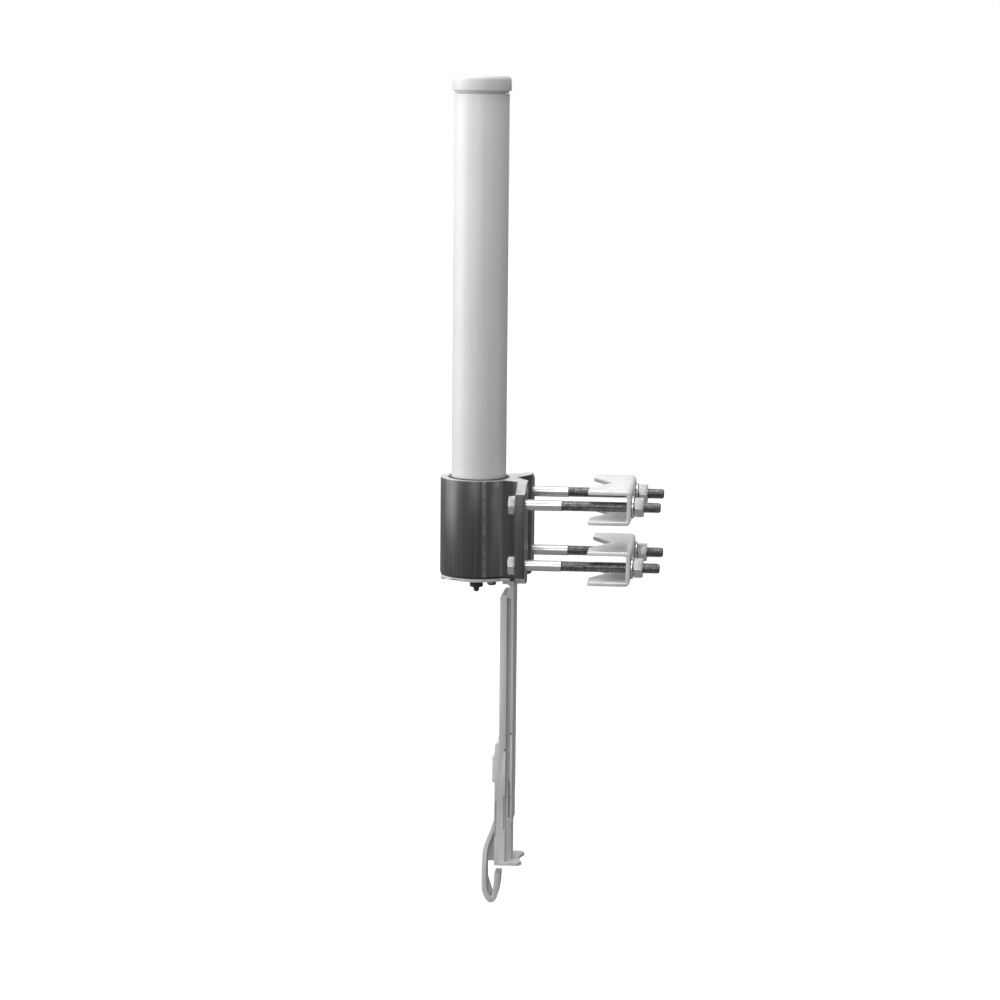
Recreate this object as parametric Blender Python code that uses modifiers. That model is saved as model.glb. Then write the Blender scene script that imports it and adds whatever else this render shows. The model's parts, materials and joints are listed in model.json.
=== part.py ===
"""Pole-mounted omnidirectional antenna: a radome tube on an extruded base, two V clamps on four
bolts, and a radio mounting arm with a release lever underneath.

Metres, +Z up. The origin is on the axis of the pole, midway between the two clamps. The pole runs
along Z, the antenna stands on the -X side of it and the bolts point along +X."""

from math import cos, pi, radians, sin, sqrt, tan

import bmesh
import bpy
from mathutils import Matrix, Vector

MM = 0.001
GAP = 0.3 * MM  # left between neighbouring solids

# Pole and clamping
POLE_RADIUS = 30.15 * MM
VEE_HALF_ANGLE = radians(60)
CLAMP_WIDTH = 90 * MM
CLAMP_HEIGHT = 25 * MM
CLAMP_REACH = 31 * MM  # from the prong tips to the back of the web
CLAMP_WALL = 3 * MM
CLAMP_BACK = 15.8 * MM  # from the vee's root to the back of the web

# Bolts, one at each corner of the plate
BOLT_RADIUS = 4 * MM
BOLT_LENGTH = 104 * MM
BOLT_HOLE_CLEARANCE = 0.5 * MM
BOLT_SPREAD = 72 * MM
BOLT_ROW_PITCH = 44 * MM
HEX_ACROSS_FLATS = 13 * MM
BOLT_HEAD_HEIGHT = 5.3 * MM
NUT_HEIGHT = 6.8 * MM
WASHER_RADIUS = 8 * MM
WASHER_THICKNESS = 1.6 * MM

# Base extrusion
AXIS_DISTANCE = 63 * MM  # from the pole's axis to the radome's
BASE_RADIUS = 28 * MM
BASE_HEIGHT = 74 * MM
PLATE_WIDTH = 90 * MM
PLATE_THICKNESS = 6.8 * MM
PLATE_BACK = -25.3 * MM
PLATE_CORNER_WIDTH = 17 * MM
PLATE_CORNER_DROP = 6.5 * MM
NECK_TURN = radians(46)  # from +X, where the round part ends and the neck begins
FLARE_WIDTH = 50 * MM  # where the neck's flare runs into the plate
FLARE_DEPTH = 5 * MM  # how far in front of the plate the flare begins
FLARE_STEPS = 6
CUTTER_PAST = 1 * MM  # how far a cutter runs on past the surface it opens
RIB_PROUD = 0.6 * MM
RIB_WIDTH = 2.4 * MM
RIB_ANGLE = radians(76)  # from +X, seen from above

# Radome
TUBE_RADIUS = 20 * MM
TUBE_WALL = 2.5 * MM
RADOME_STANDS = 290.4 * MM  # from the top of the base to the top of the cap
TUBE_SOCKET = 30 * MM
SHOULDER_WIDTH = 2 * MM
CAP_RADIUS = 21.5 * MM
CAP_HEIGHT = 12.4 * MM
CAP_GROOVE = 1.6 * MM
CAP_PLUG = 14 * MM
SEAL_WIDTH = 2 * MM
SEAL_HEIGHT = 2.2 * MM
SEAL_PROUD = 0.5 * MM

# Bottom cover and what it carries
COVER_THICKNESS = 2.2 * MM
GASKET_THICKNESS = 0.8 * MM
COVER_INSET = 0.5 * MM
COVER_BACK = 5.6 * MM  # between the plate's front and the cover's back edge
DRAIN_TURN = radians(121)
DRAIN_WIDTH = 7 * MM
DRAIN_DEPTH = 2 * MM
DRAIN_ROOF = 0.8 * MM
COVER_SCREW_CIRCLE = 24.2 * MM
COVER_SCREW_HEAD = 3.3 * MM
COVER_SCREW_HEAD_HEIGHT = 2.4 * MM
COVER_SCREW_LENGTH = 10 * MM
SMALL_SCREW_RADIUS = 1.5 * MM
CONNECTOR_MARGIN = 1.9 * MM  # between a connector's flange and the side of the well
CONNECTOR_RADIUS = 3.15 * MM
CONNECTOR_FLANGE = 4.4 * MM
CONNECTOR_FLANGE_THICKNESS = 2 * MM
CONNECTOR_SHELL = 8 * MM  # from the flange's seat to the end that the lead meets
CONNECTOR_BORE = 2.2 * MM
CONNECTOR_PIN = 0.5 * MM
CONNECTOR_BELOW = 4.4 * MM  # how far the thread stands out under the cover
CONNECTOR_NUT_FLATS = 8 * MM
CONNECTOR_NUT_HEIGHT = 2 * MM
DUST_CAP_RADIUS = 4.9 * MM
DUST_CAP_LENGTH = 9.4 * MM
DUST_CAP_COLLAR = 5.6 * MM
DUST_CAP_NUB = 2.2 * MM

# Radiating parts
BOARD_MARGIN = 4.5 * MM  # between a board's edge and the tube's inside, measured across
BOARD_THICKNESS = 1.6 * MM
BOARD_SPACING = 8 * MM
BOARD_RAISED = 12 * MM  # above the tube's lower end
BOARD_END_CLEARANCE = 20 * MM  # under the cap's plug
LEAD_LAP = 8 * MM  # how far a lead runs up its board
LEAD_INWARD = 0.3  # where it meets the board, as a share of the connector's distance
FOAM_INSET = 30 * MM  # of the end spacers along the boards
FOAM_THICKNESS = 9 * MM
COAX_RADIUS = 1.2 * MM

# Mounting arm for the radio
ARM_DROP = 214.5 * MM  # how far the arm reaches below the base
ARM_FRONT = -45 * MM
ARM_FRONT_THICKNESS = 5 * MM
ARM_BACK = -35.1 * MM
ARM_BACK_THICKNESS = 1.8 * MM
ARM_WIDTH = 32 * MM
SPINE_WIDTH = 22 * MM
BACK_FLANGE_WIDTH = 30 * MM
WING_DROP = 10.6 * MM
RAIL_DROP = 121.7 * MM
RAIL_PROUD = 3 * MM
TAB_THICKNESS = 2.4 * MM
TAB_WIDTH = 34 * MM
TAB_FRONT = -43.4 * MM
ARM_SCREW_SPREAD = 16 * MM
ARM_SCREW_HEAD = 2.3 * MM
ARM_SCREW_SINK = 1.4 * MM
FOOT_THICKNESS = 2.6 * MM
FOOT_WIDTH = 34 * MM
FOOT_CRADLE = radians(25)  # how far round the pole the foot's hollow end reaches, each way
FOOT_SHOULDER = -30.2 * MM  # where the foot starts to narrow
GUSSET_HEIGHT = 12 * MM
GUSSET_WIDTH = 9 * MM
GUSSET_STEPS = 6
ARM_CORNER = 2.5 * MM
SCOOP_RADIUS = 3.4 * MM
WING_LAP = 3 * MM
HANGER_STEP = 1.1 * MM
FOOT_RAISED = 0.4 * MM
SIDE_SLOT_DROP = 161.5 * MM
SIDE_SLOT_LENGTH = 26 * MM
SIDE_SLOT_DEPTH = 3 * MM
SIDE_SLOT_CUT = 1.3 * MM
JOINT_LAP = 1 * MM  # how far joined shapes sink into each other

# Release lever
LEVER_WIDTH = 16 * MM
LEVER_CLEARANCE = 0.5 * MM
LEVER_LEAF = 3 * MM
LEVER_DROP = 131 * MM
PIVOT_DROP = 161 * MM
PIVOT_DEPTH = 0.8 * MM  # behind the front of the arm's plate, towards the rail
PIN_RADIUS = 1.5 * MM
PIN_COVER = 3 * MM  # of rail left beyond each end of the pin
BARREL_RADIUS = 3 * MM
CATCH_PROUD = 2.6 * MM
CATCH_LENGTH = 22 * MM
CATCH_LEAD = 2 * MM
HOOK_THICKNESS = 4.6 * MM
HOOK_ROUTE = [  # its centre line in mm, out and down from where it leaves the leaf
    (0, 2), (0, -6), (-2, -14), (-5.6, -24.5), (-8.6, -33), (-9.4, -44), (-9.5, -60), (-8.6, -67),
    (-5.2, -72.2), (-2.2, -70.6), (-0.4, -63), (0.4, -52),
]
FINGER_WEB = [(-9.1, -49.3), (-8.4, -67.3), (-2.5, -70.3)]  # in the hook's bend, in mm
ROOT_WEB = [(0, -6), (-8.6, -33), (-9.4, -44), (0.8, -44)]  # behind its upper part, in mm
ROOT_WEB_WIDTH = 2 * MM
HOOK_START = 10 * MM  # below the pivot
HOOK_WEB = 1.6 * MM

# Worked out from the sizes above
vee_root = POLE_RADIUS / sin(VEE_HALF_ANGLE)
base_top = BASE_HEIGHT / 2
plate_bottom = -BASE_HEIGHT / 2
plate_front = PLATE_BACK - PLATE_THICKNESS
cover_bottom = plate_bottom
cover_top = cover_bottom + COVER_THICKNESS
gasket_top = cover_top + GAP + GASKET_THICKNESS
base_bottom = gasket_top + GAP  # of the round part, which stops short of the plate to take the cover
tube_bottom = base_top - TUBE_SOCKET
radome_top = base_top + RADOME_STANDS
tube_top = radome_top - CAP_HEIGHT
bore_radius = TUBE_RADIUS + GAP
well_radius = bore_radius - SHOULDER_WIDTH
web_back = vee_root + CLAMP_BACK
bolt_rows = (BOLT_ROW_PITCH / 2, -BOLT_ROW_PITCH / 2)
bolt_sides = (-BOLT_SPREAD / 2, BOLT_SPREAD / 2)
head_back = plate_front - GAP
washer_front = web_back + GAP
nut_front = washer_front + WASHER_THICKNESS + GAP
wing_top = cover_bottom - WING_DROP
rail_top = cover_bottom - RAIL_DROP
arm_bottom = cover_bottom - ARM_DROP
lever_top = cover_bottom - LEVER_DROP
pivot_height = cover_bottom - PIVOT_DROP
pivot = Vector((ARM_FRONT - PIVOT_DEPTH, 0, pivot_height))
board_bottom = tube_bottom + BOARD_RAISED
board_length = tube_top - CAP_PLUG - BOARD_END_CLEARANCE - board_bottom
board_width = 2 * (TUBE_RADIUS - TUBE_WALL - BOARD_MARGIN)
radome_axis = Vector((-AXIS_DISTANCE, 0, 0))

for thing in list(bpy.data.objects):
    bpy.data.objects.remove(thing)


def collection(name):
    made = bpy.data.collections.new(name)
    bpy.context.scene.collection.children.link(made)
    return made


parts = collection("omni_antenna")
helpers = collection("cutters")


def finish(name, colour, roughness, metallic=0.0):
    """A material with a plain Principled BSDF."""
    made = bpy.data.materials.new(name)
    made.use_nodes = True
    shader = made.node_tree.nodes["Principled BSDF"]
    shader.inputs["Base Color"].default_value = (*colour, 1)
    shader.inputs["Roughness"].default_value = roughness
    shader.inputs["Metallic"].default_value = metallic
    return made


RADOME = finish("radome_plastic", (0.78, 0.78, 0.77), 0.45)
EXTRUSION = finish("dark_aluminium", (0.12, 0.12, 0.125), 0.35, 0.9)
ZINC = finish("zinc_steel", (0.75, 0.76, 0.77), 0.3, 1.0)
MOULDED = finish("grey_moulding", (0.42, 0.42, 0.42), 0.5)
COVER = finish("cover_moulding", (0.6, 0.6, 0.6), 0.5)
RUBBER = finish("black_rubber", (0.02, 0.02, 0.02), 0.7)
GOLD = finish("connector_metal", (0.75, 0.6, 0.3), 0.3, 1.0)
BOARD = finish("circuit_board", (0.1, 0.25, 0.12), 0.5)
FOAM = finish("spacer_foam", (0.85, 0.85, 0.82), 0.9)
COAX = finish("coax_jacket", (0.25, 0.2, 0.18), 0.5)


def place(name, mesh, material, matrix, group):
    obj = bpy.data.objects.new(name, mesh)
    obj.matrix_world = matrix
    group.objects.link(obj)
    if material:
        mesh.materials.append(material)
    else:
        obj.hide_render = True
        obj.display_type = "WIRE"
    return obj


def shade(mesh):
    mesh.shade_smooth()
    mesh.set_sharp_from_angle(angle=radians(35))


def solid_box(name, low, high, material=None):
    """A box between two corners. Without a material it is a helper."""
    low, high = Vector(low), Vector(high)
    shape = bmesh.new()
    bmesh.ops.create_cube(shape, size=1)
    bmesh.ops.scale(shape, vec=high - low, verts=shape.verts)
    mesh = bpy.data.meshes.new(name)
    shape.to_mesh(mesh)
    shape.free()
    where = Matrix.Translation((low + high) / 2)
    return place(name, mesh, material, where, parts if material else helpers)


def turned(name, profile, matrix, material=None, steps=48):
    """A turned solid: points (radius, height) from the top down its outer side, closed if they ring."""
    mesh = bpy.data.meshes.new(name)
    points = [(radius, 0, height) for radius, height in profile]
    last = len(points)
    on_axis = profile[0][0] == 0 and profile[-1][0] == 0
    edges = [(i, i + 1) for i in range(last - 1)] + ([] if on_axis else [(last - 1, 0)])
    mesh.from_pydata(points, edges, [])
    obj = place(name, mesh, material, matrix, parts if material else helpers)
    screw = obj.modifiers.new("turn", "SCREW")
    screw.steps = screw.render_steps = steps
    screw.use_merge_vertices = True
    screw.merge_threshold = 0.00001
    screw.use_smooth_shade = True
    return obj


def rod(name, radius, low, high, matrix, material=None, steps=24):
    return turned(name, [(0, high), (radius, high), (radius, low), (0, low)], matrix, material, steps)


def ring(name, inner, outer, low, high, matrix, material=None, steps=32):
    profile = [(inner, high), (outer, high), (outer, low), (inner, low)]
    return turned(name, profile, matrix, material, steps)


def slab(name, outline, low, high, material=None, side=False):
    """A flat outline given thickness: in plan along Z, or as a side view (X, Z) along Y."""
    curve = bpy.data.curves.new(name, "CURVE")
    curve.dimensions = "2D"
    curve.fill_mode = "BOTH"
    curve.extrude = (high - low) / 2
    spline = curve.splines.new("POLY")
    spline.points.add(len(outline) - 1)
    for point, (x, y) in zip(spline.points, outline):
        point.co = (x, y, 0, 1)
    spline.use_cyclic_u = True
    if side:
        where = Matrix.Translation((0, (low + high) / 2, 0)) @ Matrix.Rotation(pi / 2, 4, "X")
    else:
        where = Matrix.Translation((0, 0, (low + high) / 2))
    drawn = place(name + "_outline", curve, None, where, helpers)
    bpy.context.view_layer.update()
    seen = drawn.evaluated_get(bpy.context.evaluated_depsgraph_get())
    mesh = bpy.data.meshes.new_from_object(seen)
    mesh.name = name
    mesh.materials.clear()
    shape = bmesh.new()
    shape.from_mesh(mesh)
    bmesh.ops.remove_doubles(shape, verts=shape.verts, dist=0.000001)
    bmesh.ops.recalc_face_normals(shape, faces=shape.faces)
    shape.to_mesh(mesh)
    shape.free()
    bpy.data.objects.remove(drawn)
    shade(mesh)
    return place(name, mesh, material, where, parts if material else helpers)


def combine(obj, others, operation):
    for other in others:
        boolean = obj.modifiers.new(other.name, "BOOLEAN")
        boolean.operation = operation
        boolean.object = other
    return obj


def add(obj, *others):
    return combine(obj, others, "UNION")


def cut(obj, *others):
    return combine(obj, others, "DIFFERENCE")


def at(x, y, z):
    return Matrix.Translation((x, y, z))


def hole_at(x, y):
    """A vertical hole's place, turned a little so that its facets don't line up with its neighbours'."""
    return at(x, y, 0) @ Matrix.Rotation(0.1, 4, "Z")


def along_x(x, y, z):
    """Turns a piece's own +Z to +X."""
    return at(x, y, z) @ Matrix.Rotation(pi / 2, 4, "Y")


def along_y(x, y, z):
    return at(x, y, z) @ Matrix.Rotation(-pi / 2, 4, "X")


def hexagon(name, flats, low, high, matrix, material=None, phase=0.0):
    radius = flats / sqrt(3)
    corners = [phase + i * pi / 3 for i in range(6)]
    shape = bmesh.new()
    bmesh.ops.create_cone(
        shape, cap_ends=True, segments=6, radius1=radius, radius2=radius, depth=high - low
    )
    bmesh.ops.translate(shape, verts=shape.verts, vec=(0, 0, (low + high) / 2))
    bmesh.ops.rotate(shape, verts=shape.verts, matrix=Matrix.Rotation(corners[0], 3, "Z"))
    mesh = bpy.data.meshes.new(name)
    shape.to_mesh(mesh)
    shape.free()
    return place(name, mesh, material, matrix, parts if material else helpers)


def arc(centre, radius, start, end, count):
    """Points on an arc, both ends included."""
    turns = [start + (end - start) * i / count for i in range(count + 1)]
    return [(centre[0] + radius * cos(t), centre[1] + radius * sin(t)) for t in turns]


def mirrored(half):
    """A closed plan outline from its +Y half, listed from the back to the front."""
    return half + [(x, -y) for x, y in reversed(half) if abs(y) > 1e-7]


def vee(name, root, opens, low, high, reach=60 * MM):
    """A prism along Z with its root on the plane Y = 0, opening towards +X or -X."""
    half = reach * tan(VEE_HALF_ANGLE)
    outline = [(root, 0), (root + opens * reach, half), (root + opens * reach, -half)]
    return slab(name, outline, low, high)


def base_outline(inset=0.0):
    """Half of the extrusion's plan without its plate, from the neck to the front."""
    radius = BASE_RADIUS - inset
    return arc((-AXIS_DISTANCE, 0), radius, NECK_TURN, pi, 40)


def make_housing():
    """The extrusion: a round socket, a flared neck and the bolted plate, cut by the pole's vee."""
    round_part = base_outline()
    neck = round_part[0]
    flare_end = (plate_front, FLARE_WIDTH / 2)
    bend = Vector((flare_end[0] - FLARE_DEPTH, neck[1]))
    flare = []
    for i in range(FLARE_STEPS):
        t = i / FLARE_STEPS
        ends = Vector(flare_end) * (1 - t) ** 2 + Vector(neck) * t**2
        flare.append(tuple(ends + bend * (2 * t * (1 - t))))
    wing = [(PLATE_BACK, 0), (PLATE_BACK, PLATE_WIDTH / 2), (plate_front, PLATE_WIDTH / 2)]
    outline = mirrored(wing + flare + round_part)
    housing = slab("base_housing", outline, plate_bottom, base_top, EXTRUSION)
    for side in (1, -1):
        turn = RIB_ANGLE * side
        reach = BASE_RADIUS + RIB_PROUD
        rib_low = (reach - 3 * MM, -RIB_WIDTH / 2, plate_bottom)
        rib = solid_box(f"rib_{side}", rib_low, (reach, RIB_WIDTH / 2, base_top))
        rib.matrix_world = at(*radome_axis) @ Matrix.Rotation(turn, 4, "Z") @ rib.matrix_world
        add(housing, rib)
    axis = at(*radome_axis)
    seat_radius = bore_radius + SEAL_WIDTH + GAP
    seat_low = base_top - SEAL_HEIGHT + SEAL_PROUD - GAP
    shoulder = tube_bottom - GAP
    high, low = base_top + CUTTER_PAST, base_bottom - CUTTER_PAST
    bore = [(0, high), (seat_radius, high), (seat_radius, seat_low), (bore_radius, seat_low)]
    bore += [(bore_radius, shoulder), (well_radius, shoulder), (well_radius, low), (0, low)]
    front = -AXIS_DISTANCE - BASE_RADIUS - 2 * CUTTER_PAST
    pocket = solid_box("cover_pocket", (front, -PLATE_WIDTH, plate_bottom - CUTTER_PAST),
                       (plate_front - 2 * CUTTER_PAST, PLATE_WIDTH, base_bottom))
    vee_low = plate_bottom - CUTTER_PAST
    cut(housing, pocket, turned("bore", bore, axis, steps=64), vee("pole_vee", -vee_root, 1, vee_low, high))
    for row in bolt_rows:
        for y in bolt_sides:
            hole = rod(f"bolt_hole_{row:.3f}_{y:.3f}", BOLT_RADIUS + BOLT_HOLE_CLEARANCE,
                       plate_front - CUTTER_PAST, PLATE_BACK + CUTTER_PAST, along_x(0, y, row))
            cut(housing, hole)
    for top in (1, -1):
        edge = top * BASE_HEIGHT / 2
        for side in (1, -1):
            end = side * PLATE_WIDTH / 2
            slope = PLATE_CORNER_WIDTH / PLATE_CORNER_DROP
            inner = end - side * (PLATE_CORNER_WIDTH + CUTTER_PAST * slope)
            lower = edge - top * (PLATE_CORNER_DROP + CUTTER_PAST / slope)
            corner = [(inner, edge + top * CUTTER_PAST), (end + side * CUTTER_PAST, lower),
                      (end + side * CUTTER_PAST, edge + top * CUTTER_PAST)]
            bevel = slab(f"corner_{top}_{side}", corner, plate_front - CUTTER_PAST, PLATE_BACK + CUTTER_PAST)
            bevel.matrix_world = (
                Matrix(((0, 0, 1, 0), (1, 0, 0, 0), (0, 1, 0, 0), (0, 0, 0, 1))) @ bevel.matrix_world
            )
            cut(housing, bevel)
    for x, y in screw_places():
        cut(housing, rod(f"cover_thread_{y:.3f}", SMALL_SCREW_RADIUS + GAP, base_bottom - CUTTER_PAST,
                         cover_screw_top() + GAP, at(x, y, 0), steps=16))
    for y in arm_screw_sides():
        cut(housing, rod(f"arm_thread_{y:.3f}", SMALL_SCREW_RADIUS + GAP, base_bottom - CUTTER_PAST,
                         arm_screw_top() + GAP, at(arm_screw_x(), y, 0), steps=16))
    return housing


def screw_places():
    turns = (pi / 3, pi, -pi / 3)
    radius = COVER_SCREW_CIRCLE
    return [(-AXIS_DISTANCE + radius * cos(t), round(radius * sin(t), 9)) for t in turns]


def cover_screw_top():
    return cover_bottom + COVER_SCREW_LENGTH


def arm_screw_sides():
    return (-ARM_SCREW_SPREAD / 2, ARM_SCREW_SPREAD / 2)


def arm_screw_x():
    return TAB_FRONT + ARM_SCREW_HEAD + 0.2 * MM


def arm_screw_top():
    return base_bottom + 6 * MM


def connector_sides():
    reach = well_radius - CONNECTOR_FLANGE - CONNECTOR_MARGIN
    return (-reach, reach)


def make_radome():
    """The tube, its cap and the seal in the socket's mouth."""
    axis = at(*radome_axis)
    inside = TUBE_RADIUS - TUBE_WALL
    ring("radome_tube", inside, TUBE_RADIUS, tube_bottom, tube_top - GAP, axis, RADOME, steps=64)
    groove_radius = TUBE_RADIUS - 0.4 * MM
    brim = tube_top + CAP_GROOVE
    plug_radius = inside - GAP
    corner = 4 * MM
    dome = arc((CAP_RADIUS - corner, radome_top - corner), corner, pi / 2, 0, 5)
    profile = [(0, radome_top)] + dome
    profile += [(CAP_RADIUS, brim), (groove_radius, brim), (groove_radius, tube_top)]
    profile += [(plug_radius, tube_top), (plug_radius, tube_top - CAP_PLUG)]
    wall = 2 * MM
    profile += [(plug_radius - wall, tube_top - CAP_PLUG), (plug_radius - wall, brim), (0, brim)]
    turned("radome_cap", profile, axis, RADOME, steps=64)
    low = base_top + SEAL_PROUD - SEAL_HEIGHT
    ring("radome_seal", bore_radius, bore_radius + SEAL_WIDTH, low, base_top + SEAL_PROUD, axis,
         RUBBER, steps=64)


def make_cover():
    """The gasket and the moulded cover under the base, with their screws."""
    outline = base_outline(COVER_INSET)
    back_edge = plate_front - COVER_BACK
    outline = mirrored([(back_edge, 0), (back_edge, outline[0][1])] + outline)
    gasket = slab("bottom_gasket", outline, gasket_top - GASKET_THICKNESS, gasket_top, RUBBER)
    cover = slab("bottom_cover", outline, cover_bottom, cover_top, COVER)
    cut(gasket, rod("gasket_hole", well_radius, cover_bottom, gasket_top + CUTTER_PAST,
                    at(*radome_axis), steps=48))
    for number, (x, y) in enumerate(screw_places(), 1):
        hole = rod(f"cover_hole_{number}", SMALL_SCREW_RADIUS + GAP, cover_bottom - CUTTER_PAST,
                   gasket_top + CUTTER_PAST, hole_at(x, y), steps=20)
        cut(gasket, hole)
        cut(cover, hole)
        head = cover_bottom - GAP
        profile = [(0, cover_screw_top()), (SMALL_SCREW_RADIUS, cover_screw_top())]
        profile += [(SMALL_SCREW_RADIUS, head), (COVER_SCREW_HEAD, head)]
        profile += [(COVER_SCREW_HEAD, head - COVER_SCREW_HEAD_HEIGHT * 0.6)]
        profile += [(COVER_SCREW_HEAD * 0.7, head - COVER_SCREW_HEAD_HEIGHT)]
        profile += [(0, head - COVER_SCREW_HEAD_HEIGHT)]
        turned(f"cover_screw_{number}", profile, at(x, y, 0), ZINC, steps=20)
    for y in arm_screw_sides():
        hole = rod(f"arm_screw_hole_{y:.3f}", SMALL_SCREW_RADIUS + GAP, cover_bottom - CUTTER_PAST,
                   gasket_top + CUTTER_PAST, hole_at(arm_screw_x(), y), steps=16)
        cut(gasket, hole)
        cut(cover, hole)
    for side in (1, -1):
        slot_turn = DRAIN_TURN * side
        inward = (BASE_RADIUS - DRAIN_DEPTH, -DRAIN_WIDTH / 2, cover_bottom - CUTTER_PAST)
        outward = (BASE_RADIUS + CUTTER_PAST, DRAIN_WIDTH / 2, cover_top - DRAIN_ROOF)
        slot = solid_box(f"drain_{side}", inward, outward)
        slot.matrix_world = at(*radome_axis) @ Matrix.Rotation(slot_turn, 4, "Z") @ slot.matrix_world
        cut(cover, slot)
    for y in connector_sides():
        hole = rod(f"connector_hole_{y:.3f}", CONNECTOR_RADIUS + GAP, cover_bottom - CUTTER_PAST,
                   gasket_top + CUTTER_PAST, hole_at(-AXIS_DISTANCE, y))
        cut(cover, hole)


def make_connectors():
    """Two bulkhead jacks with their nuts, dust caps and the leads up to the boards."""
    for name, y, side in zip(("right", "left"), connector_sides(), (-1, 1)):
        axis = at(-AXIS_DISTANCE, y, 0)
        flange_low = cover_top + GAP
        tip = cover_bottom - CONNECTOR_BELOW
        shoulder = flange_low + CONNECTOR_FLANGE_THICKNESS
        shell_top = flange_low + CONNECTOR_SHELL
        bore, pin = CONNECTOR_BORE, CONNECTOR_PIN
        profile = [(0, shell_top), (bore - GAP, shell_top), (bore - GAP, shoulder)]
        profile += [(CONNECTOR_FLANGE, shoulder), (CONNECTOR_FLANGE, flange_low)]
        profile += [(CONNECTOR_RADIUS, flange_low), (CONNECTOR_RADIUS, tip), (bore, tip)]
        profile += [(bore, tip + 3 * MM), (pin, tip + 3 * MM), (pin, tip + 1 * MM), (0, tip + 1 * MM)]
        turned(f"connector_{name}", profile, axis, GOLD, steps=24)
        nut_top = cover_bottom - GAP
        nut_low = nut_top - CONNECTOR_NUT_HEIGHT
        nut = hexagon(f"connector_nut_{name}", CONNECTOR_NUT_FLATS, nut_low, nut_top, axis, GOLD)
        cut(nut, rod(f"nut_bore_{name}", CONNECTOR_RADIUS + GAP, nut_low - GAP, nut_top + GAP, axis))
        high = nut_low - GAP
        low = cover_bottom - DUST_CAP_LENGTH
        shelf = cover_bottom - DUST_CAP_COLLAR
        inner = CONNECTOR_RADIUS + GAP
        nub = arc((0, low + DUST_CAP_NUB), DUST_CAP_NUB, 0, -pi / 2, 4)
        profile = [(inner, high), (DUST_CAP_RADIUS, high), (DUST_CAP_RADIUS, shelf), (DUST_CAP_NUB, shelf)]
        profile += nub[:-1] + [(0, low)]
        profile = [(0, tip - GAP), (inner, tip - GAP)] + profile
        turned(f"dust_cap_{name}", profile, axis, RUBBER, steps=24)
        lead_top = board_bottom + LEAD_LAP
        board_x = -AXIS_DISTANCE + side * (BOARD_SPACING / 2 + BOARD_THICKNESS + COAX_RADIUS + 2 * GAP)
        lead(f"coax_{name}", (-AXIS_DISTANCE, y, shell_top + 3 * GAP), (board_x, y * LEAD_INWARD, lead_top))


def lead(name, start, end):
    """A short stiff coaxial lead along an S-shaped path."""
    start, end = Vector(start), Vector(end)
    curve = bpy.data.curves.new(name, "CURVE")
    curve.dimensions = "3D"
    curve.bevel_depth = COAX_RADIUS
    curve.bevel_resolution = 2
    curve.use_fill_caps = True
    spline = curve.splines.new("POLY")
    count = 13
    spline.points.add(count)
    for i, point in enumerate(spline.points):
        t = i / count
        ease = t * t * (3 - 2 * t)
        x = start.x + (end.x - start.x) * ease
        y = start.y + (end.y - start.y) * ease
        point.co = (x, y, start.z + (end.z - start.z) * t, 1)
    return place(name, curve, COAX, Matrix(), parts)


def make_radiators():
    """Two printed boards, one for each polarisation, held in line by foam discs."""
    low = board_bottom
    disc = TUBE_RADIUS - TUBE_WALL - GAP
    axis = at(*radome_axis)
    slots = []
    for name, side in (("vertical_pol_board", -1), ("horizontal_pol_board", 1)):
        centre = -AXIS_DISTANCE + side * (BOARD_SPACING + BOARD_THICKNESS) / 2
        half = BOARD_THICKNESS / 2
        corner_low = (centre - half, -board_width / 2, low)
        corner_high = (centre + half, board_width / 2, low + board_length)
        solid_box(name, corner_low, corner_high, BOARD)
        slots.append((centre - half - GAP, centre + half + GAP))
    middle = low + board_length / 2
    heights = {
        "foam_spacer_lower": low + FOAM_INSET,
        "foam_spacer_middle": middle,
        "foam_spacer_upper": low + board_length - FOAM_INSET,
    }
    for name, height in heights.items():
        bottom, top = height - FOAM_THICKNESS / 2, height + FOAM_THICKNESS / 2
        foam = rod(name, disc, bottom, top, axis, FOAM, steps=48)
        for number, (left, right) in enumerate(slots):
            reach = board_width / 2 + GAP
            slot = solid_box(f"{name}_slot_{number}", (left, -reach, bottom - GAP), (right, reach, top + GAP))
            cut(foam, slot)


def make_clamps():
    """The two channel clamps: a bent plate open towards the pole, with a vee cut in both flanges."""
    tip = web_back - CLAMP_REACH
    half = CLAMP_HEIGHT / 2
    outer, inner = 3.5 * MM, 1 * MM
    wall = CLAMP_WALL
    nose = wall / 2
    outline = arc((tip + nose, half - nose), nose, pi * 1.5, pi / 2, 6)
    outline += arc((web_back - outer, half - outer), outer, pi / 2, 0, 5)
    outline += arc((web_back - outer, outer - half), outer, 0, -pi / 2, 5)
    outline += arc((tip + nose, nose - half), nose, pi * 1.5, pi / 2, 6)
    outline += arc((web_back - wall - inner, wall + inner - half), inner, -pi / 2, 0, 2)
    outline += arc((web_back - wall - inner, half - wall - inner), inner, 0, pi / 2, 2)
    for name, row in zip(("upper", "lower"), bolt_rows):
        clamp = slab(f"{name}_clamp", outline, -CLAMP_WIDTH / 2, CLAMP_WIDTH / 2, ZINC, side=True)
        clamp.matrix_world = at(0, 0, row) @ clamp.matrix_world
        cut(clamp, vee(f"{name}_vee", vee_root, -1, row - CLAMP_HEIGHT, row + CLAMP_HEIGHT))
        for y in bolt_sides:
            cut(clamp, rod(f"{name}_hole_{y:.3f}", BOLT_RADIUS + BOLT_HOLE_CLEARANCE,
                           web_back - 2 * wall, web_back + wall, along_x(0, y, row)))


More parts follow.
